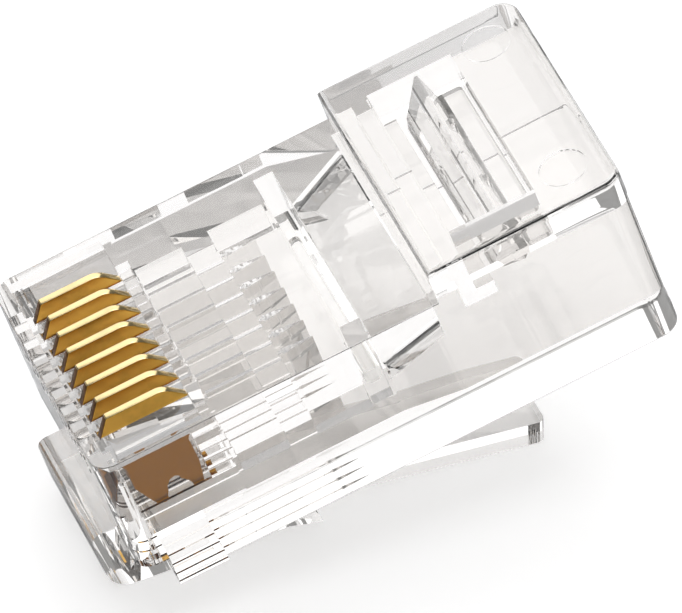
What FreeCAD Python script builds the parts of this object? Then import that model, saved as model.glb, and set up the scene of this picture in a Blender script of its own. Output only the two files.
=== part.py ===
import FreeCAD, Part
import math
import os

# Clear eight-contact modular plug, uncrimped, lying latch down as it rests on a table.
# Modelled in its own axes: X from nose to cable end, Y across, Z up, and Z = 0 on the
# contact face of the nose. The last step tips it onto its chin and latch lever.

# ---- moulded body
CONTACTS = 8
PITCH = 1.016
BODY_WIDTH = 11.68
NOSE_HEIGHT = 6.60
BODY_LENGTH = 21.90
SHOULDER_FROM_NOSE = 13.90
SHOULDER_RISE = 1.52
CORNER_RADIUS = 0.80
TOP_EDGE_RADIUS = 0.30
NOSE_EDGE_RADIUS = 0.05
BOTTOM_EDGE_RADIUS = 0.20
NOSE_FACE_HEIGHT = 5.35
NOSE_NOTCH_LENGTH = 1.20
PAD_LENGTH = 2.00
PAD_DROP = 0.31

# ---- cable cavity, funnel and conductor chamber
FLOOR_THICKNESS = 1.80
CABLE_WALL = 0.84
CABLE_CEILING = 1.67
CABLE_CAVITY_LENGTH = 8.20
ENTRY_LEAD = 0.45
FUNNEL_LENGTH = 2.40
FUNNEL_RISE = 1.15
FUNNEL_CORNER_WIDTH = 0.85
FUNNEL_CORNER_DROP = 0.60
FUNNEL_CORNER_END = 0.90
CHAMBER_WALL = 1.24
CHAMBER_HEIGHT = 2.30
PILLAR_DEPTH = 0.46
WINDOW_LEDGE_HEIGHT = 1.10
BRIDGE_START = 6.95
BRIDGE_END = 8.05
BRIDGE_DROP = 0.62
FIRST_ROOF_END = 5.68
FIRST_ROOF_DROP = 0.62
SECOND_ROOF_DROP = 0.30

# ---- conductor channels and the ribs between them
CHANNEL_START = 1.00
CHANNEL_WIDTH = 0.86
CHANNEL_HEIGHT = 1.20
RIB_END = 8.20
RIB_POINT_LENGTH = 1.25

# ---- contact blades
BLADE_THICKNESS = 0.33
BLADE_FRONT = 0.80
BLADE_LENGTH = 3.98
BLADE_STAND = 0.29
BLADE_HEAD = 1.34
BLADE_HEIGHT = 4.21
BLADE_NECK_INSET = 0.34
BLADE_HEEL_INSET = 1.10
BLADE_BARB = 0.12
TINE_DEPTH = 1.10
CRIMP_TRAVEL = 0.85
SLOT_CLEARANCE = 0.04
SLOT_END_CLEARANCE = 0.09
CONTACT_BED_DEPTH = 0.42
CONTACT_BED_RIM = 0.39
CONTACT_BED_FRONT = 0.56
NOSE_GROOVE_WIDTH = 0.56
NOSE_GROOVE_DEPTH = 2.05

# ---- conductor clamp bar (front strain relief)
BAR_SLOT_REAR = 11.15
BAR_SLOT_LENGTH = 0.80
BAR_SLOT_HALF = 4.60
BAR_TOP_DEPTH = 2.05
BAR_HEIGHT = 0.62
BAR_GAP = 0.05
BAR_TRAVEL = 0.90

# ---- jacket clamp (rear strain relief)
WINDOW_FRONT = 15.40
WINDOW_REAR = 18.85
WINDOW_HALF = 4.30
SILL_LENGTH = 0.72
SILL_THICKNESS = 0.60
SILL_DEPTH = 2.10
CLAMP_RIDGE = 17.35
CLAMP_RIDGE_DEPTH = 0.12
CLAMP_TOE = 16.45
CLAMP_HEEL = 17.82
CLAMP_FOOT_DEPTH = 2.55
CLAMP_WEB_DEPTH = 1.55
CLAMP_WEB_THICKNESS = 0.40
CLAMP_GAP = 0.06
CLAMP_NUB_RADIUS = 0.16

# ---- ejector marks on the raised part
MARK_RADIUS = 0.92
MARK_DEPTH = 0.06
MARK_FROM_REAR = 1.72
MARK_HALF_SPACING = 3.95

# ---- chin and latch
LATCH_WIDTH = 6.02
LEVER_WIDTH = 3.25
CHIN_REACH = 0.98
CHIN_BOTTOM = 8.33
CHIN_TOP_RADIUS = 0.35
CHIN_BOTTOM_RADIUS = 1.04
LATCH_THICKNESS = 0.84
LATCH_SLOPE = 9.0
HINGE_FROM_NOSE = 1.75
HINGE_GAP = 0.03
LOCK_RAMP_START = 5.90
LOCK_FACE = 7.12
LOCK_DEPTH = 9.81
LEVER_START_DEPTH = 9.90
LEVER_SLOPE = 16.4
LEVER_THICKNESS = 0.95
LEVER_END = 16.05
LEVER_CORNER_RADIUS = 0.35

# ---- places that follow from the sizes above
HALF_WIDTH = BODY_WIDTH / 2
FLOOR_Z = FLOOR_THICKNESS - NOSE_HEIGHT
CHAMBER_ROOF_Z = FLOOR_Z + CHAMBER_HEIGHT
CABLE_ROOF_Z = SHOULDER_RISE - CABLE_CEILING
CABLE_HALF = HALF_WIDTH - CABLE_WALL
CHAMBER_HALF = HALF_WIDTH - CHAMBER_WALL
CABLE_FRONT = BODY_LENGTH - CABLE_CAVITY_LENGTH
FUNNEL_FRONT = CABLE_FRONT - FUNNEL_LENGTH
CHANNEL_TOP_Z = FLOOR_Z + CHANNEL_HEIGHT
CONTACT_Y = [(CONTACTS - 1) * PITCH / 2 - i * PITCH for i in range(CONTACTS)]
BLADE_REAR = BLADE_FRONT + BLADE_LENGTH
SLOT_WIDTH = BLADE_THICKNESS + 2 * SLOT_CLEARANCE
CHAMBER_FRONT = BLADE_REAR + SLOT_END_CLEARANCE
BEYOND = 2.0


def prism(outline, half_width):
    """Solid whose side outline, given as (x, z) points, runs across Y."""
    points = [FreeCAD.Vector(x, -half_width, z) for x, z in outline]
    wire = Part.makePolygon(points + points[:1])
    return Part.Face(wire).extrude(FreeCAD.Vector(0, 2 * half_width, 0))


def plan_prism(outline, bottom, top):
    """Solid whose plan outline, given as (x, y) points, runs from bottom to top."""
    points = [FreeCAD.Vector(x, y, bottom) for x, y in outline]
    wire = Part.makePolygon(points + points[:1])
    return Part.Face(wire).extrude(FreeCAD.Vector(0, 0, top - bottom))


def box(x0, x1, y0, y1, z0, z1):
    return Part.makeBox(x1 - x0, y1 - y0, z1 - z0, FreeCAD.Vector(x0, y0, z0))


def cross_cylinder(x, z, radius, half_width):
    """Cylinder that lies across the plug."""
    start = FreeCAD.Vector(x, -half_width, z)
    return Part.makeCylinder(radius, 2 * half_width, start, FreeCAD.Vector(0, 1, 0))


def mirrored(shape):
    return shape.mirror(FreeCAD.Vector(0, 0, 0), FreeCAD.Vector(0, 1, 0))


def flat_edges(shape, z, keep):
    """Edges that lie wholly at height z and pass the keep test on their middle."""
    found = []
    for edge in shape.Edges:
        limits = edge.BoundBox
        level = abs(limits.ZMin - z) < 1e-5 and abs(limits.ZMax - z) < 1e-5
        middle = edge.CenterOfMass
        if level and keep(middle):
            found.append(edge)
    return found


def upright_edges(shape, at_x):
    """Edges that stand upright at the outer corners of a given x."""
    found = []
    for edge in shape.Edges:
        limits = edge.BoundBox
        upright = limits.XLength < 1e-5 and limits.YLength < 1e-5
        placed = abs(limits.XMin - at_x) < 1e-5
        if upright and placed:
            found.append(edge)
    return found


def outer_block():
    """The moulding's outside: low nose, square shoulder, raised cable end."""
    outline = [
        (0, 0),
        (SHOULDER_FROM_NOSE, 0),
        (SHOULDER_FROM_NOSE, SHOULDER_RISE),
        (BODY_LENGTH, SHOULDER_RISE),
        (BODY_LENGTH, -NOSE_HEIGHT),
        (0, -NOSE_HEIGHT),
    ]
    block = prism(outline, HALF_WIDTH)
    corners = upright_edges(block, 0) + upright_edges(block, BODY_LENGTH)
    block = block.makeFillet(CORNER_RADIUS, corners)
    top = flat_edges(block, SHOULDER_RISE, lambda p: True)
    block = block.makeFillet(TOP_EDGE_RADIUS, top)
    nose = flat_edges(block, 0, lambda p: p.x < SHOULDER_FROM_NOSE - 0.01)
    block = block.makeFillet(NOSE_EDGE_RADIUS, nose)
    bottom = flat_edges(block, -NOSE_HEIGHT, lambda p: True)
    return block.makeFillet(BOTTOM_EDGE_RADIUS, bottom)


def nose_notches():
    """Square notches under the nose, one each side of the latch root."""
    inner = LATCH_WIDTH / 2
    depth = NOSE_HEIGHT + BEYOND
    notch = box(-BEYOND, NOSE_NOTCH_LENGTH, inner, HALF_WIDTH + BEYOND, -depth, -NOSE_FACE_HEIGHT)
    return notch.fuse(mirrored(notch))


def nose_pad():
    """Shallow pad across the underside, just behind the notches."""
    front = NOSE_NOTCH_LENGTH
    low = -NOSE_HEIGHT - PAD_DROP
    half = HALF_WIDTH - BOTTOM_EDGE_RADIUS
    outline = [
        (front, -NOSE_HEIGHT + PAD_DROP),
        (front, low),
        (front + PAD_LENGTH, low),
        (front + PAD_LENGTH, -NOSE_HEIGHT + PAD_DROP),
    ]
    return prism(outline, half)


def chin_centre():
    """Centre of the chin's large lower round."""
    return CHIN_BOTTOM_RADIUS - CHIN_REACH, CHIN_BOTTOM_RADIUS - CHIN_BOTTOM


def latch_outer_z(x):
    """Height of the latch's outer face ahead of its lock ramp."""
    slope = math.radians(LATCH_SLOPE)
    centre_x, centre_z = chin_centre()
    return centre_z - CHIN_BOTTOM_RADIUS / math.cos(slope) - (x - centre_x) * math.tan(slope)


def hinge_centre():
    """Middle of the thin root that the latch bends about."""
    rise = LATCH_THICKNESS / 2 / math.cos(math.radians(LATCH_SLOPE))
    return HINGE_FROM_NOSE, latch_outer_z(HINGE_FROM_NOSE) + rise


def arc(centre, radius, first, last, y):
    """Arc edge in an upright plane, from one angle to another in degrees."""
    ends = []
    for angle in (first, (first + last) / 2, last):
        turn = math.radians(angle)
        x = centre[0] + radius * math.cos(turn)
        z = centre[1] + radius * math.sin(turn)
        ends.append(FreeCAD.Vector(x, y, z))
    return Part.Arc(*ends).toShape()


def chin():
    """Rounded chin ahead of the nose, which carries the latch root."""
    y = -LATCH_WIDTH / 2
    top = -NOSE_FACE_HEIGHT
    hinge_x, hinge_z = hinge_centre()
    rear = hinge_x - 0.45 * LATCH_THICKNESS / 2
    inner_rise = LATCH_THICKNESS / math.cos(math.radians(LATCH_SLOPE))
    crown = (CHIN_TOP_RADIUS - CHIN_REACH, top - CHIN_TOP_RADIUS)
    upper = arc(crown, CHIN_TOP_RADIUS, 90, 180, y)
    lower = arc(chin_centre(), CHIN_BOTTOM_RADIUS, 180, 270 - LATCH_SLOPE, y)
    corners = [
        lower.Vertexes[-1].Point,
        FreeCAD.Vector(rear, y, latch_outer_z(rear)),
        FreeCAD.Vector(rear, y, latch_outer_z(rear) + inner_rise),
        FreeCAD.Vector(NOSE_NOTCH_LENGTH, y, -NOSE_HEIGHT - PAD_DROP),
        FreeCAD.Vector(NOSE_NOTCH_LENGTH, y, top),
        upper.Vertexes[0].Point,
    ]
    front = Part.LineSegment(upper.Vertexes[-1].Point, lower.Vertexes[0].Point).toShape()
    rest = Part.makePolygon(corners)
    wire = Part.Wire(Part.__sortEdges__([upper, front, lower] + rest.Edges))
    body = Part.Face(wire).extrude(FreeCAD.Vector(0, LATCH_WIDTH, 0))
    socket = cross_cylinder(hinge_x, hinge_z, LATCH_THICKNESS / 2 + HINGE_GAP, LATCH_WIDTH)
    return body.cut(socket)


def cable_cavity():
    """Room for the cable's jacket, open at the rear with a flared mouth."""
    outline = [
        (CABLE_FRONT, FLOOR_Z),
        (BODY_LENGTH + BEYOND, FLOOR_Z),
        (BODY_LENGTH + BEYOND, CABLE_ROOF_Z),
        (CABLE_FRONT, CABLE_ROOF_Z),
    ]
    room = prism(outline, CABLE_HALF)
    small = mouth_wire(BODY_LENGTH - ENTRY_LEAD, 0)
    large = mouth_wire(BODY_LENGTH + 0.01, ENTRY_LEAD)
    flare = Part.makeLoft([small, large], True)
    return room.fuse(flare)


def mouth_wire(x, grow):
    """Rectangle of the cable mouth at x, grown outwards by grow."""
    half = CABLE_HALF + grow
    low = FLOOR_Z - grow
    high = CABLE_ROOF_Z + grow
    points = [
        FreeCAD.Vector(x, -half, low),
        FreeCAD.Vector(x, half, low),
        FreeCAD.Vector(x, half, high),
        FreeCAD.Vector(x, -half, high),
    ]
    return Part.makePolygon(points + points[:1])


def funnel_section(x, half, high, cut_width, cut_drop):
    """Funnel's section at x: a rectangle with its two upper corners cut off."""
    inner = half - cut_width
    shoulder = high - cut_drop
    outline = [
        (-half, FLOOR_Z),
        (half, FLOOR_Z),
        (half, shoulder),
        (inner, high),
        (-inner, high),
        (-half, shoulder),
    ]
    points = [FreeCAD.Vector(x, y, z) for y, z in outline]
    return Part.makePolygon(points + points[:1])


def funnel():
    """Taper from the cable cavity down to the conductor chamber."""
    cut_width = FUNNEL_CORNER_WIDTH
    cut_drop = FUNNEL_CORNER_DROP
    narrow_half = CHAMBER_HALF - PILLAR_DEPTH
    wide_roof = CHAMBER_ROOF_Z + FUNNEL_RISE
    share = FUNNEL_CORNER_END
    narrow = funnel_section(FUNNEL_FRONT, narrow_half, CHAMBER_ROOF_Z, cut_width, cut_drop)
    wide = funnel_section(CABLE_FRONT, CABLE_HALF, wide_roof, share * cut_width, share * cut_drop)
    return Part.makeLoft([narrow, wide], True, True)


def roof_steps():
    """Chamber roof as (start, end, height) runs from the blades to the funnel."""
    first = CHAMBER_ROOF_Z - FIRST_ROOF_DROP
    second = CHAMBER_ROOF_Z - SECOND_ROOF_DROP
    bridge = CHAMBER_ROOF_Z - BRIDGE_DROP
    return [
        (CHAMBER_FRONT - 0.01, FIRST_ROOF_END, first),
        (FIRST_ROOF_END, BRIDGE_START, second),
        (BRIDGE_START, BRIDGE_END, bridge),
        (BRIDGE_END, FUNNEL_FRONT, CHAMBER_ROOF_Z),
    ]


def conductor_chamber():
    """Chamber behind the blades: stepped roof, low bridge and side windows."""
    half = CHAMBER_HALF - PILLAR_DEPTH
    outline = []
    for start, end, height in roof_steps():
        outline += [(start, height), (end, height)]
    outline += [(FUNNEL_FRONT, FLOOR_Z), (CHAMBER_FRONT - 0.01, FLOOR_Z)]
    room = prism(outline, half)
    low = FLOOR_Z + WINDOW_LEDGE_HEIGHT
    spans = [
        (CHAMBER_FRONT + 0.15, BRIDGE_START, CHAMBER_ROOF_Z - SECOND_ROOF_DROP),
        (BRIDGE_END, BAR_SLOT_REAR - BAR_SLOT_LENGTH - 0.05, CHAMBER_ROOF_Z),
    ]
    for start, end, top in spans:
        room = room.fuse(box(start, end, -CHAMBER_HALF, CHAMBER_HALF, low, top))
    return room


def ribs():
    """Thin walls between the conductors, up to the roof, each ending in a point."""
    straight_end = RIB_END
    tip = straight_end + RIB_POINT_LENGTH
    half = (PITCH - CHANNEL_WIDTH) / 2
    made = []
    for left, right in zip(CONTACT_Y[:-1], CONTACT_Y[1:]):
        y = (left + right) / 2
        outline = [
            (CHAMBER_FRONT - 0.1, y - half),
            (straight_end, y - half),
            (straight_end, y - 2.2 * half),
            (tip, y),
            (straight_end, y + 2.2 * half),
            (straight_end, y + half),
            (CHAMBER_FRONT - 0.1, y + half),
        ]
        made.append(plan_prism(outline, FLOOR_Z - 0.05, CHAMBER_ROOF_Z + 0.05))
    return made


def channels():
    """Flat-bottomed channels that carry each conductor under its blade."""
    made = []
    half = CHANNEL_WIDTH / 2
    for y in CONTACT_Y:
        made.append(box(CHANNEL_START, CHAMBER_FRONT + 0.02, y - half, y + half, FLOOR_Z, CHANNEL_TOP_Z))
    return made


def blade_slots():
    """Stepped slots, open to the top, to the nose and into the channels."""
    made = []
    half = SLOT_WIDTH / 2
    head_bottom = BLADE_STAND - BLADE_HEAD - CRIMP_TRAVEL - SLOT_CLEARANCE
    neck_front = BLADE_FRONT + BLADE_NECK_INSET - BLADE_BARB - SLOT_END_CLEARANCE
    neck_rear = BLADE_REAR - BLADE_HEEL_INSET + BLADE_BARB + SLOT_END_CLEARANCE
    for y in CONTACT_Y:
        head = box(
            BLADE_FRONT - SLOT_END_CLEARANCE, CHAMBER_FRONT, y - half, y + half, head_bottom, BEYOND
        )
        neck = box(neck_front, neck_rear, y - half, y + half, CHANNEL_TOP_Z - 0.3, head_bottom + 0.1)
        made.append(head.fuse(neck))
    return made


def contact_bed():
    """Shallow bed that leaves the upper part of the blades standing free."""
    half = HALF_WIDTH - CONTACT_BED_RIM
    rear = BLADE_REAR - 0.42
    return box(CONTACT_BED_FRONT, rear, -half, half, -CONTACT_BED_DEPTH, BEYOND)


def nose_grooves():
    """Grooves in the nose wall where the socket's spring wires enter."""
    made = []
    radius = NOSE_GROOVE_WIDTH / 2
    centre_z = -NOSE_GROOVE_DEPTH + radius
    for y in CONTACT_Y:
        tall = box(-BEYOND, BLADE_FRONT, y - radius, y + radius, centre_z, BEYOND)
        start = FreeCAD.Vector(-BEYOND, y, centre_z)
        round_end = Part.makeCylinder(radius, BLADE_FRONT + BEYOND, start, FreeCAD.Vector(1, 0, 0))
        made.append(tall.fuse(round_end))
    return made


def bar_slot():
    """Slot for the conductor clamp bar, deep enough for its whole travel."""
    front = BAR_SLOT_REAR - BAR_SLOT_LENGTH
    low = -BAR_TOP_DEPTH - BAR_HEIGHT - BAR_TRAVEL - BAR_GAP
    return box(front, BAR_SLOT_REAR, -BAR_SLOT_HALF, BAR_SLOT_HALF, low, BEYOND)


def jacket_window():
    """Window in the raised part, through to the cable cavity."""
    half = WINDOW_HALF
    return box(WINDOW_FRONT, WINDOW_REAR, -half, half, CABLE_ROOF_Z - BEYOND, SHOULDER_RISE + BEYOND)


def window_sill():
    """Cross bar low in the front of the window, joined to both side walls."""
    top = SHOULDER_RISE - SILL_DEPTH
    front = WINDOW_FRONT - SILL_THICKNESS
    outline = [
        (front, CABLE_ROOF_Z + 0.1),
        (front, top - SILL_THICKNESS),
        (WINDOW_FRONT + SILL_LENGTH, top - SILL_THICKNESS),
        (WINDOW_FRONT + SILL_LENGTH, top),
        (WINDOW_FRONT, top),
        (WINDOW_FRONT, CABLE_ROOF_Z + 0.1),
    ]
    return prism(outline, CABLE_HALF + 0.1)


def ejector_marks():
    """Shallow round marks on top of the raised part."""
    made = []
    x = BODY_LENGTH - MARK_FROM_REAR
    for y in (MARK_HALF_SPACING, -MARK_HALF_SPACING):
        start = FreeCAD.Vector(x, y, SHOULDER_RISE - MARK_DEPTH)
        made.append(Part.makeCylinder(MARK_RADIUS, BEYOND, start))
    return made


def housing():
    body = outer_block().cut(nose_notches())
    body = body.fuse([nose_pad(), chin()])
    room = cable_cavity().fuse([funnel(), conductor_chamber()])
    body = body.cut(room)
    body = body.fuse([window_sill()] + ribs())
    cuts = channels() + blade_slots() + nose_grooves()
    cuts += [contact_bed(), bar_slot()] + ejector_marks()
    body = body.cut(cuts)
    window = jacket_window().cut(window_sill())
    body = body.cut(window)
    return body.removeSplitter()


def lever_z(x):
    """Height of the lever's outer face."""
    return -LEVER_START_DEPTH - (x - LOCK_FACE) * math.tan(math.radians(LEVER_SLOPE))


def latch_plate():
    """Wide front half of the latch with its lock ramps."""
    hinge_x, hinge_z = hinge_centre()
    radius = LATCH_THICKNESS / 2
    tilt = math.radians(LATCH_SLOPE)
    inner_rise = LATCH_THICKNESS / math.cos(tilt)
    top_start = (hinge_x + radius * math.sin(tilt), hinge_z + radius * math.cos(tilt))
    low_start = (hinge_x - radius * math.sin(tilt), hinge_z - radius * math.cos(tilt))
    outline = [
        top_start,
        low_start,
        (LOCK_RAMP_START, latch_outer_z(LOCK_RAMP_START)),
        (LOCK_FACE, -LOCK_DEPTH),
        (LOCK_FACE, latch_outer_z(LOCK_FACE) + inner_rise),
    ]
    plate = prism(outline, LATCH_WIDTH / 2)
    root = cross_cylinder(hinge_x, hinge_z, radius, LATCH_WIDTH / 2)
    return plate.fuse(root)


def latch_lever():
    """Narrow finger lever behind the lock faces."""
    tilt = math.radians(LEVER_SLOPE)
    back = LEVER_THICKNESS * math.sin(tilt)
    up = LEVER_THICKNESS * math.cos(tilt)
    start = LOCK_RAMP_START
    outline = [
        (start, latch_outer_z(start) + 0.1),
        (LOCK_FACE - 0.15, -LOCK_DEPTH + 0.1),
        (LOCK_FACE, lever_z(LOCK_FACE)),
        (LEVER_END, lever_z(LEVER_END)),
        (LEVER_END + back, lever_z(LEVER_END) + up),
        (LOCK_FACE + back, lever_z(LOCK_FACE) + up),
        (start, latch_outer_z(start) + 0.7 * LATCH_THICKNESS),
    ]
    lever = prism(outline, LEVER_WIDTH / 2)
    ends = []
    for edge in lever.Edges:
        limits = edge.BoundBox
        if limits.YLength < 1e-5 and limits.XMin > LEVER_END - 0.01:
            ends.append(edge)
    return lever.makeFillet(LEVER_CORNER_RADIUS, ends)


def latch():
    return latch_plate().fuse(latch_lever()).removeSplitter()


def blade_outline():
    """Side outline of one contact blade as a closed list of edges."""
    front = BLADE_FRONT
    rear = BLADE_REAR
    top = BLADE_STAND
    head = BLADE_STAND - BLADE_HEAD
    foot = BLADE_STAND - BLADE_HEIGHT
    neck_front = front + BLADE_NECK_INSET
    neck_rear = rear - BLADE_HEEL_INSET
    barb_z = head - 2 * BLADE_BARB
    length = neck_rear - neck_front
    arch_x = neck_front + 0.60 * length
    arch_top = foot + TINE_DEPTH
    front_tine = neck_front + 0.34 * length
    rear_tine = neck_front + 0.84 * length
    return [
        (front, head),
        (front, top - 0.80),
        (front + 0.48, top),
        (rear - 1.15, top),
        (rear - 0.42, top - 0.72),
        (rear, top - 1.00),
        (rear, head),
        (neck_rear - 0.05, head - 0.05),
        (neck_rear + BLADE_BARB, barb_z),
        (neck_rear, barb_z - 0.20),
        (neck_rear + 0.05, arch_top + 0.15),
        (neck_rear - 0.06, foot + 0.30),
        (rear_tine, foot + 0.10),
        (rear_tine - 0.14 * length, foot + 0.34),
        (arch_x + 0.06 * length, arch_top - 0.10),
        (arch_x, arch_top),
        (arch_x - 0.08 * length, arch_top - 0.06),
        (arch_x - 0.15 * length, arch_top - 0.30),
        (front_tine + 0.07 * length, foot + 0.12),
        (front_tine, foot),
        (front_tine - 0.10 * length, foot + 0.14),
        (front_tine - 0.20 * length, foot + 0.62),
        (neck_front, arch_top + 0.30),
        (neck_front, barb_z - 0.20),
        (neck_front - BLADE_BARB, barb_z),
        (neck_front, head - 0.05),
    ]


def blade(y):
    points = [FreeCAD.Vector(x, y - BLADE_THICKNESS / 2, z) for x, z in blade_outline()]
    wire = Part.makePolygon(points + points[:1])
    return Part.Face(wire).extrude(FreeCAD.Vector(0, BLADE_THICKNESS, 0))


def conductor_clamp():
    """Cross bar that the crimp pushes down onto the conductors."""
    front = BAR_SLOT_REAR - BAR_SLOT_LENGTH + BAR_GAP
    rear = BAR_SLOT_REAR - BAR_GAP
    half = BAR_SLOT_HALF - BAR_GAP
    top = -BAR_TOP_DEPTH
    bottom = top - BAR_HEIGHT
    nose = 0.3 * (rear - front)
    outline = [
        (front, top),
        (front, bottom + nose),
        (front + nose, bottom),
        (rear - nose, bottom),
        (rear, bottom + nose),
        (rear, top),
    ]
    return prism(outline, half)


def clamp_hinge():
    """Axis of the jacket clamp's thin web at the rear of the window."""
    x = WINDOW_REAR - CLAMP_GAP - CLAMP_WEB_THICKNESS / 2
    z = SHOULDER_RISE - CLAMP_WEB_DEPTH - CLAMP_WEB_THICKNESS / 2
    return x, z


def jacket_clamp():
    """Ridged flap that folds down onto the cable jacket."""
    web_top = SHOULDER_RISE - CLAMP_WEB_DEPTH
    web_low = web_top - CLAMP_WEB_THICKNESS
    foot = SHOULDER_RISE - CLAMP_FOOT_DEPTH
    hinge_x, hinge_z = clamp_hinge()
    outline = [
        (CLAMP_TOE - 0.10, foot + 0.18),
        (CLAMP_TOE, SHOULDER_RISE - 0.72 * CLAMP_FOOT_DEPTH),
        (CLAMP_RIDGE - 0.06, SHOULDER_RISE - CLAMP_RIDGE_DEPTH - 0.04),
        (CLAMP_RIDGE + 0.06, SHOULDER_RISE - CLAMP_RIDGE_DEPTH - 0.04),
        (CLAMP_HEEL, web_top),
        (hinge_x, web_top),
        (hinge_x, web_low),
        (CLAMP_HEEL + 0.20, web_low),
        (CLAMP_HEEL - 0.25, foot),
    ]
    half = WINDOW_HALF - CLAMP_GAP
    flap = prism(outline, half)
    root = cross_cylinder(hinge_x, hinge_z, CLAMP_WEB_THICKNESS / 2, half)
    flap = flap.fuse(root)
    nubs = []
    for y in (0.42 * half, -0.42 * half):
        start = FreeCAD.Vector(CLAMP_RIDGE + 0.28, y, web_top)
        nubs.append(Part.makeCylinder(CLAMP_NUB_RADIUS, 0.85, start))
    return flap.fuse(nubs).removeSplitter()


def rest_angle():
    """Tilt, in degrees, at which chin and lever tip touch the table together."""
    chin_x, chin_z = chin_centre()
    low, high = 0.0, 45.0
    for _ in range(60):
        middle = (low + high) / 2
        turn = math.radians(middle)
        tip = LEVER_END * math.sin(turn) + lever_z(LEVER_END) * math.cos(turn)
        foot = chin_x * math.sin(turn) + chin_z * math.cos(turn) - CHIN_BOTTOM_RADIUS
        if tip < foot:
            low = middle
        else:
            high = middle
    return (low + high) / 2


def all_nodes():
    nodes = {"housing": housing(), "latch": latch()}
    nodes["jacket_clamp"] = jacket_clamp()
    nodes["conductor_clamp"] = conductor_clamp()
    for number, y in enumerate(CONTACT_Y, start=1):
        nodes["contact_%d" % number] = blade(y)
    return nodes


def laid_down(nodes):
    """Tip every node to the resting tilt and put the whole on the origin."""
    tilt = -rest_angle()
    for shape in nodes.values():
        shape.rotate(FreeCAD.Vector(0, 0, 0), FreeCAD.Vector(0, 1, 0), tilt)
    limits = Part.makeCompound(list(nodes.values())).BoundBox
    middle = (limits.XMin + limits.XMax) / 2
    for shape in nodes.values():
        shape.translate(FreeCAD.Vector(-middle, 0, -limits.ZMin))
    return middle, limits.ZMin


def main():
    os.makedirs("parts", exist_ok=True)
    nodes = all_nodes()
    middle, low = laid_down(nodes)
    for name, shape in nodes.items():
        shape.exportStep("parts/%s.step" % name)
        print(name, "solids", len(shape.Solids), "volume", round(shape.Volume, 3), shape.isValid())
    print("tilt", round(rest_angle(), 3), "shift", round(-middle, 4), round(-low, 4))


main()
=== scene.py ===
"""Clear modular plug: the visible pieces, their finishes and a plain studio."""

import math

import bmesh
import bpy
from bpy.props import FloatProperty, FloatVectorProperty, PointerProperty
from mathutils import Matrix, Vector


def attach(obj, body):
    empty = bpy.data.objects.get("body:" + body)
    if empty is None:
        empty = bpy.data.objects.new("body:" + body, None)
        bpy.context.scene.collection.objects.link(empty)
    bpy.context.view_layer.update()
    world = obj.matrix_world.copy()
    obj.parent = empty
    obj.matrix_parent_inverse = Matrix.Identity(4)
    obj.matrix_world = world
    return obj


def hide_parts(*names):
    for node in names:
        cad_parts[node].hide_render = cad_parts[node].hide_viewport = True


bl_info = {
    "name": "Clear modular plug",
    "version": (1, 0, 0),
    "blender": (4, 5, 0),
    "location": "3D View > Sidebar > Plug",
    "description": "Dresses the clear modular plug and lights it in a plain studio",
    "category": "Object",
}

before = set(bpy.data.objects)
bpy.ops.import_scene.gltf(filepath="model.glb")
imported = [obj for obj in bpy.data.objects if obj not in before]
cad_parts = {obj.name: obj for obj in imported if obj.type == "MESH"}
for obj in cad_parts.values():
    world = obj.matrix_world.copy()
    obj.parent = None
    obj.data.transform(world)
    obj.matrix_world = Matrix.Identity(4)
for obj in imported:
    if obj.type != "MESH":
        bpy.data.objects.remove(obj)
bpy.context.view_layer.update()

MM = 0.001
TILT = math.radians(14.6)
PLUG_UP = Vector((-math.sin(TILT), 0.0, math.cos(TILT)))
PLUG_BACK = Vector((math.cos(TILT), 0.0, math.sin(TILT)))
ACROSS = Vector((0.0, 1.0, 0.0))
CONTACTS = [name for name in sorted(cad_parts) if name.startswith("contact_")]

# How squarely a blade's face looks up to be a crown face with painted light, or forward to be a
# front face with painted shade.
CROWN_FACING = 0.65
FRONT_SHADE_FACING = 0.5
# A blade's corner is found within this distance of its place.
CORNER_REACH = 0.05 * MM


# ---- sizes and colours a user may change -----------------------------------------------


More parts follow.
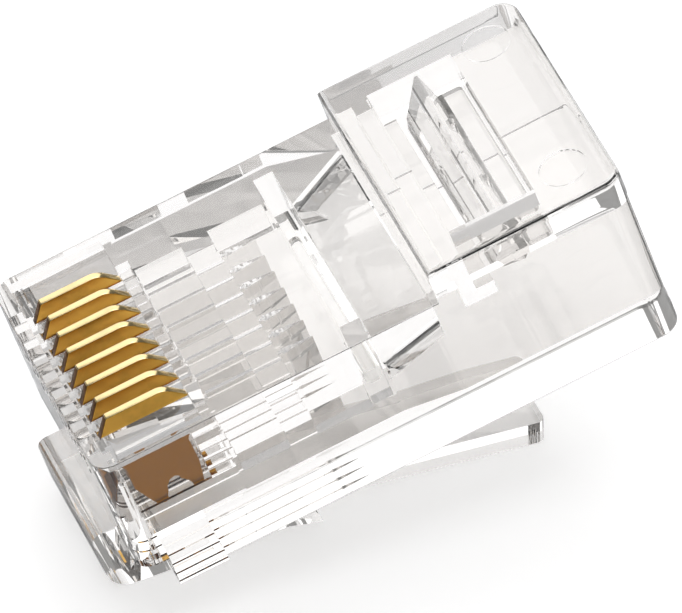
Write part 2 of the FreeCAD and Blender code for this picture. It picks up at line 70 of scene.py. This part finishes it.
class PlugFinish(bpy.types.PropertyGroup):
    """Colours and gloss of the clear plastic and of the gold."""

    plastic_tint: FloatVectorProperty(
        name="Plastic tint", description="Colour that light takes on in the clear plastic",
        subtype="COLOR", size=3, min=0.0, max=1.0, default=(0.90, 0.888, 0.876))
    plastic_roughness: FloatProperty(
        name="Plastic roughness", description="Haze of the moulded faces",
        default=0.0, min=0.0, max=1.0, subtype="FACTOR")
    plastic_index: FloatProperty(
        name="Plastic index", description="How strongly the clear plastic bends light",
        default=1.57, min=1.0, soft_max=2.0)
    bar_tint: FloatVectorProperty(
        name="Bar tint", description="Colour that light takes on in the pressed bar",
        subtype="COLOR", size=3, min=0.0, max=1.0, default=(0.99, 0.99, 0.98))
    bar_index: FloatProperty(
        name="Bar index", description="How strongly the pressed bar bends light",
        default=1.25, min=1.0, soft_max=2.0)
    frost: FloatProperty(
        name="Bar frost", description="Roughness of the bar that holds the conductors",
        default=0.05, min=0.0, max=1.0, subtype="FACTOR")
    # Painted light: this brighter gold stands in for the light falling on the blade's upward
    # faces.
    crown_painted_light: FloatVectorProperty(
        name="Crown gold", description="Colour of the thick plating along the blade's crown",
        subtype="COLOR", size=3, min=0.0, max=1.0, default=(1.0, 0.80, 0.42))
    # Painted shade: this darker gold stands in for the shade on the blade's side faces.
    flank_painted_shade: FloatVectorProperty(
        name="Flank gold", description="Colour of the thin plating on the blade's flanks",
        subtype="COLOR", size=3, min=0.0, max=1.0, default=(1.0, 0.58, 0.115))
    # The flanks turn this darker brown towards the bottom of the blade, the saddle included.
    low_flank_brown: FloatVectorProperty(
        name="Tine bronze", description="Colour of the bare tines",
        subtype="COLOR", size=3, min=0.0, max=1.0, default=(0.48, 0.188, 0.003))
    # Painted shade: this dark colour stands in for the shade on the blade's forward faces.
    front_painted_shade: FloatVectorProperty(
        name="Cut edge", description="Colour of the sheared edge at the front of a blade",
        subtype="COLOR", size=3, min=0.0, max=1.0, default=(0.13, 0.055, 0.014))
    shoulder_place: FloatProperty(
        name="Shoulder place", description="Distance of the crown's end from the heel's end",
        default=1.15 * MM, min=0.0, soft_max=2.0 * MM, subtype="DISTANCE", unit="LENGTH")
    blade_shoulder: FloatProperty(
        name="Blade shoulder", description="Radius where the crown turns down to the heel",
        default=0.30 * MM, min=0.0, soft_max=0.5 * MM, subtype="DISTANCE", unit="LENGTH")
    heel_trim: FloatProperty(
        name="Heel trim", description="Length of the heel hidden in the moulding",
        default=0.43 * MM, min=0.0, soft_max=0.6 * MM, subtype="DISTANCE", unit="LENGTH")
    saddle_place: FloatProperty(
        name="Saddle place", description="Distance of the arch's middle from the blade's front",
        default=1.87 * MM, min=0.0, soft_max=3.0 * MM, subtype="DISTANCE", unit="LENGTH")
    saddle_width: FloatProperty(
        name="Saddle width", description="Width of the arch between a blade's two tines",
        default=1.10 * MM, min=0.0, soft_max=1.3 * MM, subtype="DISTANCE", unit="LENGTH")
    saddle_height: FloatProperty(
        name="Saddle height", description="Height of the arch above the tips of the tines",
        default=0.86 * MM, min=0.0, soft_max=1.2 * MM, subtype="DISTANCE", unit="LENGTH")
    # Depths below the crown where the flanks begin to turn brown and where they are fully brown.
    browning_starts: FloatProperty(
        name="Plating fades", description="Depth below the crown where the plating thins out",
        default=1.15 * MM, min=0.0, soft_max=4.0 * MM, subtype="DISTANCE", unit="LENGTH")
    browning_full: FloatProperty(
        name="Plating ends", description="Depth below the crown where the bare tines begin",
        default=1.50 * MM, min=0.0, soft_max=4.0 * MM, subtype="DISTANCE", unit="LENGTH")
    blade_edge: FloatProperty(
        name="Blade edge", description="Radius along the stamped edges of a blade",
        default=0.03 * MM, min=0.0, soft_max=0.1 * MM, subtype="DISTANCE", unit="LENGTH")


class PlugStudio(bpy.types.PropertyGroup):
    """Place of the camera and strength of the studio light."""

    azimuth: FloatProperty(
        name="Azimuth", description="Turn of the camera round the plug",
        default=math.radians(-17.73), subtype="ANGLE", unit="ROTATION")
    elevation: FloatProperty(
        name="Elevation", description="Height of the camera above the table",
        default=math.radians(39.557), subtype="ANGLE", unit="ROTATION")
    roll: FloatProperty(
        name="Roll", description="Turn of the camera about its own line of sight",
        default=math.radians(4.068), subtype="ANGLE", unit="ROTATION")
    distance: FloatProperty(
        name="Distance", description="Camera to the middle of the plug",
        default=0.5327, min=0.05, subtype="DISTANCE", unit="LENGTH")
    aim: FloatVectorProperty(
        name="Aim", description="Point the camera looks at",
        default=(-0.0000083, 0.0, 0.007948), subtype="TRANSLATION", unit="LENGTH", size=3,
        precision=5)
    lens: FloatProperty(
        name="Lens", description="Focal length of the camera in millimetres",
        default=766.5, min=1.0)
    shift_x: FloatProperty(
        name="Shift across", description="Sideways shift of the picture, in picture widths",
        default=0.0080645, precision=5)
    shift_y: FloatProperty(
        name="Shift up", description="Upward shift of the picture, in picture widths",
        default=-0.0076246, precision=5)
    floor: FloatVectorProperty(
        name="Floor", description="Colour of the table top",
        subtype="COLOR", size=3, min=0.0, max=1.0, default=(0.92, 0.93, 0.95))
    floor_lift: FloatProperty(
        name="Floor lift", description="Brightening of the table top where it is seen directly",
        default=0.64, min=0.0, max=1.0, subtype="FACTOR")
    through_lift: FloatProperty(
        name="Lift through plastic",
        description="Brightening of the table top where it is seen through the plastic",
        default=0.66, min=0.0, max=1.0, subtype="FACTOR")
    sweep: FloatProperty(
        name="Sweep", description="How far the shade in front of the plug reaches",
        default=0.060, min=0.001, subtype="DISTANCE", unit="LENGTH")
    sweep_start: FloatProperty(
        name="Sweep start", description="Where the shade starts, behind the plug's middle",
        default=0.002, min=0.0, subtype="DISTANCE", unit="LENGTH")
    shade: FloatProperty(
        name="Shade", description="Share of the lift through plastic that is left in the shade",
        default=0.3, min=0.0, max=1.0, subtype="FACTOR")
    backdrop: FloatVectorProperty(
        name="Backdrop", description="Colour of the far side of the room, seen through plastic",
        subtype="COLOR", size=3, min=0.0, max=1.0, default=(0.36, 0.36, 0.355))
    sky: FloatVectorProperty(
        name="Surround", description="Colour of the room round the table",
        subtype="COLOR", size=3, min=0.0, max=1.0, default=(0.13, 0.13, 0.128))


# ---- helpers ---------------------------------------------------------------------------


def only(piece):
    """Selects one piece and nothing else."""
    bpy.ops.object.select_all(action="DESELECT")
    piece.select_set(True)
    bpy.context.view_layer.objects.active = piece


def copy_of_node(node, name):
    """A new piece with the shape of a solid, its triangles merged into whole faces."""
    piece = bpy.data.objects.new(name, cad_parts[node].data.copy())
    bpy.context.scene.collection.objects.link(piece)
    piece.data.materials.clear()
    only(piece)
    bpy.ops.object.mode_set(mode="EDIT")
    bpy.ops.mesh.select_all(action="SELECT")
    bpy.ops.mesh.remove_doubles(threshold=1e-6)
    bpy.ops.mesh.customdata_custom_splitnormals_clear()
    bpy.ops.mesh.dissolve_limited(angle_limit=math.radians(0.4))
    bpy.ops.object.mode_set(mode="OBJECT")
    return piece


def soften(piece, radius, angle=40.0):
    """Rounds the sharp edges of a piece and smooths its shading, leaving flats flat."""
    only(piece)
    if radius > 0:
        rounding = piece.modifiers.new("Edge rounding", "BEVEL")
        rounding.width = radius
        rounding.segments = 2
        rounding.limit_method = "ANGLE"
        rounding.angle_limit = math.radians(angle)
        rounding.use_clamp_overlap = False
        rounding.miter_outer = "MITER_SHARP"
        bpy.ops.object.modifier_apply(modifier=rounding.name)
    bpy.ops.object.shade_smooth_by_angle(angle=math.radians(50))
    flats = piece.modifiers.new("Flat faces", "WEIGHTED_NORMAL")
    flats.keep_sharp = True
    flats.weight = 100
    bpy.ops.object.modifier_apply(modifier=flats.name)


def dress(piece, material, body, slot, *nodes):
    """Gives a piece its material, its body and the solids it stands for."""
    piece.data.materials.clear()
    piece.data.materials.append(material)
    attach(piece, body)
    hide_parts(*nodes)
    return piece


def blank_material(name):
    """A node material with a principled shader, its tree and that shader."""
    old = bpy.data.materials.get(name)
    if old:
        bpy.data.materials.remove(old)
    material = bpy.data.materials.new(name)
    material.use_nodes = True
    tree = material.node_tree
    shader = tree.nodes["Principled BSDF"]
    return material, tree, shader


def object_noise(tree, scale, stretch=(1.0, 1.0, 1.0), turn=(0.0, 0.0, 0.0), detail=3.0):
    """A noise texture on the piece's own coordinates."""
    where = tree.nodes.new("ShaderNodeTexCoord")
    place = tree.nodes.new("ShaderNodeMapping")
    place.inputs["Rotation"].default_value = turn
    place.inputs["Scale"].default_value = stretch
    noise = tree.nodes.new("ShaderNodeTexNoise")
    noise.inputs["Scale"].default_value = scale
    noise.inputs["Detail"].default_value = detail
    tree.links.new(where.outputs["Object"], place.inputs["Vector"])
    tree.links.new(place.outputs["Vector"], noise.inputs["Vector"])
    return noise


# ---- finishes --------------------------------------------------------------------------


def clear_plastic(finish):
    """Clear polycarbonate as it leaves a polished mould, with faint flow lines."""
    material, tree, shader = blank_material("clear_polycarbonate")
    shader.inputs["Transmission Weight"].default_value = 1.0
    shader.inputs["IOR"].default_value = finish.plastic_index
    shader.inputs["Roughness"].default_value = finish.plastic_roughness
    flow = object_noise(tree, 260.0, (0.4, 1.0, 1.0), (0.0, -TILT, 0.0))
    ramp = tree.nodes.new("ShaderNodeValToRGB")
    ramp.color_ramp.elements[0].position = 0.35
    ramp.color_ramp.elements[0].color = (*(0.97 * part for part in finish.plastic_tint), 1.0)
    ramp.color_ramp.elements[1].position = 0.65
    ramp.color_ramp.elements[1].color = (*finish.plastic_tint, 1.0)
    tree.links.new(flow.outputs["Fac"], ramp.inputs["Fac"])
    tree.links.new(ramp.outputs["Color"], shader.inputs["Base Color"])
    return material


def frosted_plastic(finish):
    """The faintly hazy plastic of the pressed bar, which shows pale in its slot."""
    material, tree, shader = blank_material("frosted_polycarbonate")
    shader.inputs["Base Color"].default_value = (*finish.bar_tint, 1.0)
    shader.inputs["Transmission Weight"].default_value = 1.0
    shader.inputs["IOR"].default_value = finish.bar_index
    shader.inputs["Roughness"].default_value = finish.frost
    return material


def height_share(tree, low, high):
    """Rises from 0 to 1 between two heights of the plug's own upward axis."""
    where = tree.nodes.new("ShaderNodeTexCoord")
    along = tree.nodes.new("ShaderNodeVectorMath")
    along.operation = "DOT_PRODUCT"
    along.inputs[1].default_value = PLUG_UP
    span = tree.nodes.new("ShaderNodeMapRange")
    span.inputs["From Min"].default_value = low
    span.inputs["From Max"].default_value = high
    tree.links.new(where.outputs["Object"], along.inputs[0])
    tree.links.new(along.outputs["Value"], span.inputs["Value"])
    return span.outputs["Result"]


def browner_below(material, colour, low, high):
    """Turns a material gradually into another colour below the given heights."""
    tree = material.node_tree
    shader = tree.nodes["Principled BSDF"]
    plated = shader.inputs["Base Color"].links[0].from_socket
    mix = tree.nodes.new("ShaderNodeMix")
    mix.data_type = "RGBA"
    mix.inputs[6].default_value = (*colour, 1.0)
    tree.links.new(height_share(tree, low, high), mix.inputs[0])
    tree.links.new(plated, mix.inputs[7])
    tree.links.new(mix.outputs[2], shader.inputs["Base Color"])


def gold_plate(name, colour, dull, low, high):
    """Gold plating with drawn lines and duller patches; low and high bound its roughness."""
    material, tree, shader = blank_material(name)
    shader.inputs["Metallic"].default_value = 1.0
    patches = object_noise(tree, 700.0)
    ramp = tree.nodes.new("ShaderNodeValToRGB")
    ramp.color_ramp.elements[0].position = 0.25
    ramp.color_ramp.elements[0].color = (*(dull * part for part in colour), 1.0)
    ramp.color_ramp.elements[1].position = 0.50
    ramp.color_ramp.elements[1].color = (*colour, 1.0)
    tree.links.new(patches.outputs["Fac"], ramp.inputs["Fac"])
    tree.links.new(ramp.outputs["Color"], shader.inputs["Base Color"])
    lines = object_noise(tree, 2600.0, (0.08, 1.0, 1.0), (0.0, -TILT, 0.0))
    span = tree.nodes.new("ShaderNodeMapRange")
    span.inputs["To Min"].default_value = low
    span.inputs["To Max"].default_value = high
    tree.links.new(lines.outputs["Fac"], span.inputs["Value"])
    tree.links.new(span.outputs["Result"], shader.inputs["Roughness"])
    bump = tree.nodes.new("ShaderNodeBump")
    bump.inputs["Strength"].default_value = 0.3
    bump.inputs["Distance"].default_value = 0.01 * MM
    tree.links.new(lines.outputs["Fac"], bump.inputs["Height"])
    tree.links.new(bump.outputs["Normal"], shader.inputs["Normal"])
    return material


# ---- operators -------------------------------------------------------------------------


class PLUG_OT_shell(bpy.types.Operator):
    """Moulded clear shell"""

    bl_idname = "plug.shell"
    bl_label = "Clear shell"

    def execute(self, context):
        finish = context.scene.plug_finish
        shell = copy_of_node("housing", "clear_shell")
        soften(shell, 0.0)
        dress(shell, clear_plastic(finish), "housing", "clear_polycarbonate", "housing")
        return {"FINISHED"}


class PLUG_OT_latch(bpy.types.Operator):
    """Spring latch with its chin, lock shoulders and lever"""

    bl_idname = "plug.latch"
    bl_label = "Spring latch"

    def execute(self, context):
        latch = copy_of_node("latch", "spring_latch")
        soften(latch, 0.0)
        plastic = bpy.data.materials["clear_polycarbonate"]
        dress(latch, plastic, "latch", "clear_polycarbonate", "latch")
        return {"FINISHED"}


class PLUG_OT_clamps(bpy.types.Operator):
    """Jacket clamp in the top window and the bar that holds the conductors"""

    bl_idname = "plug.clamps"
    bl_label = "Clamps"

    def execute(self, context):
        wedge = copy_of_node("jacket_clamp", "jacket_wedge")
        soften(wedge, 0.0)
        plastic = bpy.data.materials["clear_polycarbonate"]
        dress(wedge, plastic, "jacket_clamp", "clear_polycarbonate", "jacket_clamp")
        bar = copy_of_node("conductor_clamp", "conductor_bar")
        soften(bar, 0.0)
        frosted = frosted_plastic(context.scene.plug_finish)
        dress(bar, frosted, "conductor_clamp", "clear_polycarbonate", "conductor_clamp")
        return {"FINISHED"}


class PLUG_OT_contacts(bpy.types.Operator):
    """Row of gold-plated contact blades"""

    bl_idname = "plug.contacts"
    bl_label = "Contact blades"

    def execute(self, context):
        finish = context.scene.plug_finish
        # Lit and shaded copies of the gold: brighter for upward faces, darker for the flanks,
        # dark for forward faces.
        crown = gold_plate("gold_crown_painted_light", finish.crown_painted_light, 0.8, 0.10, 0.26)
        flank = gold_plate("gold_flank_painted_shade", finish.flank_painted_shade, 0.6, 0.22, 0.42)
        front_shade = gold_plate("gold_front_painted_shade", finish.front_painted_shade, 0.6, 0.30, 0.50)
        for node in CONTACTS:
            blade = copy_of_node(node, node.replace("contact", "gold_blade"))
            front, rear = self.reach(blade, PLUG_BACK)
            foot, top = self.reach(blade, PLUG_UP)
            self.trim_heel(blade, rear - finish.heel_trim)
            self.widen_saddle(blade, front + finish.saddle_place, foot, finish)
            shoulder = rear - finish.shoulder_place
            self.round_shoulder(blade, shoulder, top, finish.blade_shoulder)
            soften(blade, finish.blade_edge)
            dress(blade, flank, node, "gold_plated_bronze", node)
            blade.data.materials.append(crown)
            blade.data.materials.append(front_shade)
            self.paint_light_by_facing(blade)
        # The flank gold turns darker brown towards the bottom of the blade.
        browner_below(
            flank, finish.low_flank_brown, top - finish.browning_full, top - finish.browning_starts)
        return {"FINISHED"}

    def reach(self, blade, axis):
        """The lowest and highest place of a blade along an axis."""
        places = [corner.co.dot(axis) for corner in blade.data.vertices]
        return min(places), max(places)

    def trim_heel(self, blade, rear):
        """Cuts off the end of the heel, square to the plug."""
        only(blade)
        bpy.ops.object.mode_set(mode="EDIT")
        bpy.ops.mesh.select_all(action="SELECT")
        bpy.ops.mesh.bisect(
            plane_co=PLUG_BACK * rear, plane_no=PLUG_BACK, use_fill=True, clear_outer=True)
        bpy.ops.object.mode_set(mode="OBJECT")

    def widen_saddle(self, blade, middle, foot, finish):
        """Cuts the round arch that straddles a conductor."""
        place = PLUG_BACK * middle + PLUG_UP * foot + ACROSS * sum(self.reach(blade, ACROSS)) / 2
        bpy.ops.object.select_all(action="DESELECT")
        bpy.ops.mesh.primitive_cylinder_add(
            vertices=48, radius=0.5, depth=1.0 * MM, location=place)
        cutter = bpy.context.object
        cutter.rotation_euler = (math.pi / 2, -TILT, 0.0)
        cutter.scale = (finish.saddle_width, 2 * finish.saddle_height, 1.0)
        bpy.context.view_layer.update()
        only(blade)
        arch = blade.modifiers.new("Arch", "BOOLEAN")
        arch.operation = "DIFFERENCE"
        arch.solver = "EXACT"
        arch.object = cutter
        bpy.ops.object.modifier_apply(modifier=arch.name)
        bpy.data.objects.remove(cutter)

    def round_shoulder(self, blade, back, top, radius):
        """Rounds the corner where the crown turns down to the heel."""
        shape = bmesh.new()
        shape.from_mesh(blade.data)
        corner = [
            edge for edge in shape.edges
            if all(abs(end.co.dot(PLUG_BACK) - back) < CORNER_REACH
                   and abs(end.co.dot(PLUG_UP) - top) < CORNER_REACH for end in edge.verts)]
        bmesh.ops.bevel(
            shape, geom=corner, offset=radius, segments=5, profile=0.5, affect="EDGES")
        shape.to_mesh(blade.data)
        shape.free()

    def paint_light_by_facing(self, blade):
        """Painted light and shade by facing: brighter gold on upward faces, dark gold on forward
        faces, the darker flank gold on the rest.
        """
        for face in blade.data.polygons:
            if face.normal.dot(PLUG_UP) > CROWN_FACING:
                face.material_index = 1
            elif face.normal.dot(PLUG_BACK) < -FRONT_SHADE_FACING:
                face.material_index = 2


class PLUG_OT_studio(bpy.types.Operator):
    """Table top, soft lamps, surround and camera"""

    bl_idname = "plug.studio"
    bl_label = "Studio"

    def execute(self, context):
        studio = context.scene.plug_studio
        self.table(studio)
        self.surround(context.scene, studio)
        self.lamp("Overhead softbox", (0.07, 0.02, 0.60), (0.0, 0.0, 0.0), 0.60, 1.4)
        self.lamp("Back softbox", (0.10, 0.62, 0.50), (0.0, 0.0, 0.0), 0.75, 2.1)
        self.camera(context.scene, studio)
        return {"FINISHED"}

    def table(self, studio):
        bpy.ops.object.select_all(action="DESELECT")
        bpy.ops.mesh.primitive_plane_add(size=3.0, location=(0.0, 0.0, -0.00002))
        top = bpy.context.object
        top.name = "table_top"
        material, tree, shader = blank_material("white_table")
        shader.inputs["Base Color"].default_value = (*studio.floor, 1.0)
        shader.inputs["Roughness"].default_value = 0.9
        shader.inputs["Specular IOR Level"].default_value = 0.0
        path = tree.nodes.new("ShaderNodeLightPath")
        lift = tree.nodes.new("ShaderNodeEmission")
        lift.inputs["Color"].default_value = (1.0, 0.99, 0.98, 1.0)
        share = tree.nodes.new("ShaderNodeMath")
        share.operation = "MULTIPLY_ADD"
        share.inputs[1].default_value = studio.floor_lift
        where = tree.nodes.new("ShaderNodeTexCoord")
        split = tree.nodes.new("ShaderNodeSeparateXYZ")
        span = tree.nodes.new("ShaderNodeMapRange")
        span.inputs["From Min"].default_value = -studio.sweep
        span.inputs["From Max"].default_value = studio.sweep_start
        fall = tree.nodes.new("ShaderNodeValToRGB")
        fall.color_ramp.elements[0].color = (1.0, 1.0, 1.0, 1.0)
        for place in (0.56, 0.84):
            stop = fall.color_ramp.elements.new(place)
            stop.color = (studio.shade, studio.shade, studio.shade, 1.0)
        near = tree.nodes.new("ShaderNodeMath")
        near.operation = "MULTIPLY"
        tree.links.new(where.outputs["Object"], split.inputs[0])
        tree.links.new(split.outputs["Y"], span.inputs["Value"])
        tree.links.new(span.outputs["Result"], fall.inputs["Fac"])
        tree.links.new(fall.outputs["Color"], near.inputs[0])
        through = tree.nodes.new("ShaderNodeMath")
        through.operation = "MULTIPLY"
        through.inputs[1].default_value = studio.through_lift
        tree.links.new(path.outputs["Is Transmission Ray"], near.inputs[1])
        tree.links.new(near.outputs[0], through.inputs[0])
        tree.links.new(path.outputs["Is Camera Ray"], share.inputs[0])
        tree.links.new(through.outputs[0], share.inputs[2])
        tree.links.new(share.outputs[0], lift.inputs["Strength"])
        lit = tree.nodes.new("ShaderNodeAddShader")
        tree.links.new(shader.outputs[0], lit.inputs[0])
        tree.links.new(lift.outputs[0], lit.inputs[1])
        tree.links.new(lit.outputs[0], tree.nodes["Material Output"].inputs["Surface"])
        top.data.materials.append(material)

    def surround(self, scene, studio):
        world = bpy.data.worlds.new("Surround")
        world.use_nodes = True
        nodes, links = world.node_tree.nodes, world.node_tree.links
        back = nodes["Background"]
        where = nodes.new("ShaderNodeTexCoord")
        split = nodes.new("ShaderNodeSeparateXYZ")
        span = nodes.new("ShaderNodeMapRange")
        span.inputs["From Min"].default_value = -0.1
        span.inputs["From Max"].default_value = 0.5
        path = nodes.new("ShaderNodeLightPath")
        share = nodes.new("ShaderNodeMath")
        share.operation = "MULTIPLY"
        mix = nodes.new("ShaderNodeMix")
        mix.data_type = "RGBA"
        mix.inputs[6].default_value = (*studio.sky, 1.0)
        mix.inputs[7].default_value = (*studio.backdrop, 1.0)
        links.new(where.outputs["Generated"], split.inputs[0])
        links.new(split.outputs["Y"], span.inputs["Value"])
        links.new(span.outputs["Result"], share.inputs[0])
        links.new(path.outputs["Is Transmission Ray"], share.inputs[1])
        links.new(share.outputs[0], mix.inputs[0])
        links.new(mix.outputs[2], back.inputs["Color"])
        back.inputs["Strength"].default_value = 1.0
        scene.world = world

    def lamp(self, name, place, target, size, power):
        data = bpy.data.lights.new(name, "AREA")
        data.shape = "SQUARE"
        data.size = size
        data.energy = power
        lamp = bpy.data.objects.new(name, data)
        bpy.context.scene.collection.objects.link(lamp)
        lamp.location = place
        aim = Vector(target) - Vector(place)
        lamp.rotation_euler = aim.to_track_quat("-Z", "Y").to_euler()

    def camera(self, scene, studio):
        data = bpy.data.cameras.new("Camera")
        data.sensor_width = 36.0
        data.lens = studio.lens
        data.shift_x = studio.shift_x
        data.shift_y = studio.shift_y
        data.clip_start = 0.01
        data.clip_end = 10.0
        camera = bpy.data.objects.new("Camera", data)
        scene.collection.objects.link(camera)
        turn = Matrix.Rotation(studio.azimuth, 4, "Z")
        tip = Matrix.Rotation(math.pi / 2 - studio.elevation, 4, "X")
        roll = Matrix.Rotation(-studio.roll, 4, "Z")
        back = Matrix.Translation((0.0, 0.0, studio.distance))
        camera.matrix_world = Matrix.Translation(studio.aim) @ turn @ tip @ roll @ back
        scene.camera = camera


class PLUG_PT_panel(bpy.types.Panel):
    """Buttons that build and dress the plug"""

    bl_idname = "PLUG_PT_panel"
    bl_label = "Clear modular plug"
    bl_space_type = "VIEW_3D"
    bl_region_type = "UI"
    bl_category = "Plug"

    def draw(self, context):
        layout = self.layout
        for piece in PIECES:
            layout.operator(piece.bl_idname)
        for group in (context.scene.plug_finish, context.scene.plug_studio):
            box = layout.box()
            for name in group.__annotations__:
                box.prop(group, name)


PIECES = (PLUG_OT_shell, PLUG_OT_latch, PLUG_OT_clamps, PLUG_OT_contacts, PLUG_OT_studio)
CLASSES = (PlugFinish, PlugStudio, *PIECES, PLUG_PT_panel)


def register():
    for cls in CLASSES:
        bpy.utils.register_class(cls)
    bpy.types.Scene.plug_finish = PointerProperty(type=PlugFinish)
    bpy.types.Scene.plug_studio = PointerProperty(type=PlugStudio)


def unregister():
    del bpy.types.Scene.plug_studio
    del bpy.types.Scene.plug_finish
    for cls in reversed(CLASSES):
        bpy.utils.unregister_class(cls)


def let_light_through(scene):
    """Enough bounces for light to find its way out of the clear plastic."""
    scene.cycles.max_bounces = 40
    scene.cycles.transmission_bounces = 40
    scene.cycles.glossy_bounces = 20


def main():
    """Builds every piece."""
    register()
    bpy.context.scene.view_settings.view_transform = "Standard"
    let_light_through(bpy.context.scene)
    bpy.ops.plug.shell()
    bpy.ops.plug.latch()
    bpy.ops.plug.clamps()
    bpy.ops.plug.contacts()
    bpy.ops.plug.studio()


if __name__ == "__main__":
    main()
